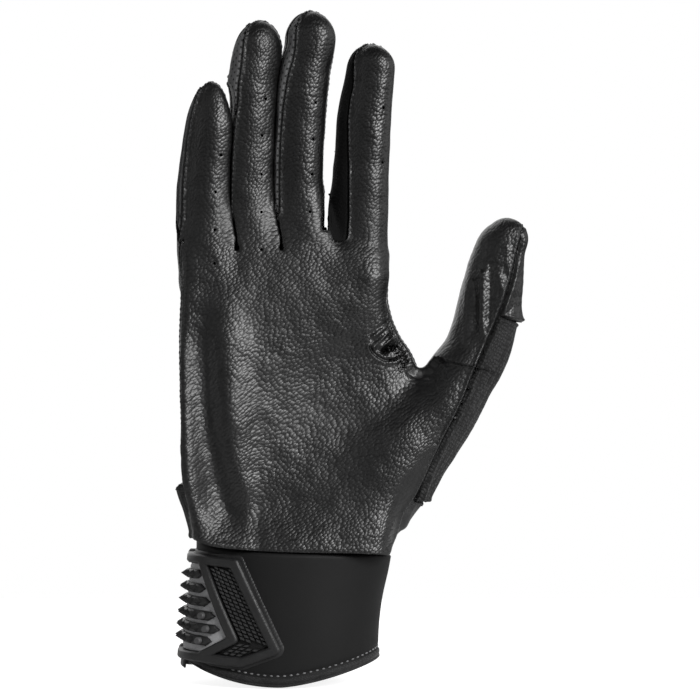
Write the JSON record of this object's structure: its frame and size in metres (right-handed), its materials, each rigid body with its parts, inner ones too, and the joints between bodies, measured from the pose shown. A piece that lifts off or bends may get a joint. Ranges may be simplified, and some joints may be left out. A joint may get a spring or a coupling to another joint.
{
  "type": "batting glove",
  "caption": "Right-hand leather batting glove with bending fingers, a smooth cuff and a ribbed rubber wrist closure.",
  "frame": {"origin": "middle of the cuff's opening, at the lowest point of its hem", "axes": "+Z from the cuff to the fingertips, -Y out of the palm, +X to the thumb's side"},
  "size_m": [0.1263, 0.0587, 0.2375],
  "materials": {
    "palm_leather": "fine grained black sheepskin, satin",
    "side_strip": "perforated dark grey leather",
    "knuckle_leather": "ribbed black synthetic leather",
    "stretch_fabric": "matte black stretch knit",
    "neoprene": "smooth faced black neoprene",
    "hem_binding": "turned hem with grey stitching",
    "rubber": "matte moulded black rubber",
    "grey_rubber": "matte moulded grey rubber",
    "hook_and_loop": "black hook and loop"
  },
  "bodies": {
    "hand": {"back_panel": "stretch_fabric", "closure_frame": "rubber", "closure_knurl_inset": "rubber", "closure_loop_patch": "hook_and_loop", "closure_rib_1": "rubber", "closure_rib_2": "rubber", "closure_rib_3": "rubber", "closure_rib_4": "rubber", "closure_rib_5": "rubber", "closure_rib_6": "rubber", "closure_rib_bed": "grey_rubber", "cuff_back_side": "neoprene", "cuff_palm_side": "neoprene", "hem_binding_back_side": "hem_binding", "hem_binding_palm_side": "hem_binding", "knuckle_insert": "knuckle_leather", "palm_panel": "palm_leather", "thumb_fold_patch": "palm_leather", "ulnar_edge_tab": "stretch_fabric", "web_middle_index": "side_strip", "web_pinky_ring": "side_strip", "web_ring_middle": "side_strip"},
    "pinky_lower": {"pinky_back_lower": "stretch_fabric", "pinky_front_lower": "palm_leather", "pinky_thumb_strip_lower": "side_strip"},
    "pinky_upper": {"pinky_back_upper": "stretch_fabric", "pinky_front_upper": "palm_leather", "pinky_thumb_strip_upper": "side_strip"},
    "ring_lower": {"ring_back_lower": "stretch_fabric", "ring_front_lower": "palm_leather", "ring_thumb_strip_lower": "side_strip", "ring_ulnar_strip_lower": "side_strip"},
    "ring_upper": {"ring_back_upper": "stretch_fabric", "ring_front_upper": "palm_leather", "ring_thumb_strip_upper": "side_strip", "ring_ulnar_strip_upper": "side_strip"},
    "middle_lower": {"middle_back_lower": "stretch_fabric", "middle_front_lower": "palm_leather", "middle_thumb_strip_lower": "side_strip", "middle_ulnar_strip_lower": "side_strip"},
    "middle_upper": {"middle_back_upper": "stretch_fabric", "middle_front_upper": "palm_leather", "middle_thumb_strip_upper": "side_strip", "middle_ulnar_strip_upper": "side_strip"},
    "index_lower": {"index_back_lower": "stretch_fabric", "index_front_lower": "palm_leather", "index_ulnar_strip_lower": "side_strip"},
    "index_upper": {"index_back_upper": "stretch_fabric", "index_front_upper": "palm_leather", "index_ulnar_strip_upper": "side_strip"},
    "thumb_lower": {"thumb_back_lower": "stretch_fabric", "thumb_front_lower": "palm_leather"},
    "thumb_upper": {"thumb_back_upper": "palm_leather", "thumb_front_upper": "palm_leather"},
    "closure_tab": {"closure_hook_patch": "hook_and_loop", "closure_tab": "rubber"}
  },
  "joints": [
    {"name": "pinky_knuckle_bend", "type": "hinge", "parent": "hand", "child": "pinky_lower", "pos_m": [-0.0293, -0.0116, 0.157], "axis": [0.9991, 0, -0.0419], "range_deg": [0, 85]},
    {"name": "pinky_middle_bend", "type": "hinge", "parent": "pinky_lower", "child": "pinky_upper", "pos_m": [-0.02992, -0.01211, 0.17869], "axis": [0.9991, 0, -0.0419], "range_deg": [0, 95]},
    {"name": "ring_knuckle_bend", "type": "hinge", "parent": "hand", "child": "ring_lower", "pos_m": [-0.011, -0.0104, 0.157], "axis": [0.9994, 0, -0.0349], "range_deg": [0, 85]},
    {"name": "ring_middle_bend", "type": "hinge", "parent": "ring_lower", "child": "ring_upper", "pos_m": [-0.01147, -0.01091, 0.18707], "axis": [0.9994, 0, -0.0349], "range_deg": [0, 95]},
    {"name": "middle_knuckle_bend", "type": "hinge", "parent": "hand", "child": "middle_lower", "pos_m": [0.0071, -0.0098, 0.157], "axis": [0.9996, 0, -0.0279], "range_deg": [0, 85]},
    {"name": "middle_middle_bend", "type": "hinge", "parent": "middle_lower", "child": "middle_upper", "pos_m": [0.00645, -0.01031, 0.18843], "axis": [0.9996, 0, -0.0279], "range_deg": [0, 95]},
    {"name": "index_knuckle_bend", "type": "hinge", "parent": "hand", "child": "index_lower", "pos_m": [0.0265, -0.0106, 0.157], "axis": [0.9984, 0, -0.0558], "range_deg": [0, 85]},
    {"name": "index_middle_bend", "type": "hinge", "parent": "index_lower", "child": "index_upper", "pos_m": [0.02648, -0.0111, 0.18388], "axis": [0.9984, 0, -0.0558], "range_deg": [0, 95]},
    {"name": "thumb_knuckle_bend", "type": "hinge", "parent": "hand", "child": "thumb_lower", "pos_m": [0.0654, -0.0155, 0.1127], "axis": [0.9703, 0, -0.2419], "range_deg": [0, 60]},
    {"name": "thumb_middle_bend", "type": "hinge", "parent": "thumb_lower", "child": "thumb_upper", "pos_m": [0.0686, -0.0159, 0.13164], "axis": [0.9703, 0, -0.2419], "range_deg": [0, 65]},
    {"name": "closure_peel", "type": "hinge", "parent": "hand", "child": "closure_tab", "pos_m": [-0.03854, 0.00615, 0.0265], "axis": [0, 0, 1], "range_deg": [0, 120]}
  ]
}
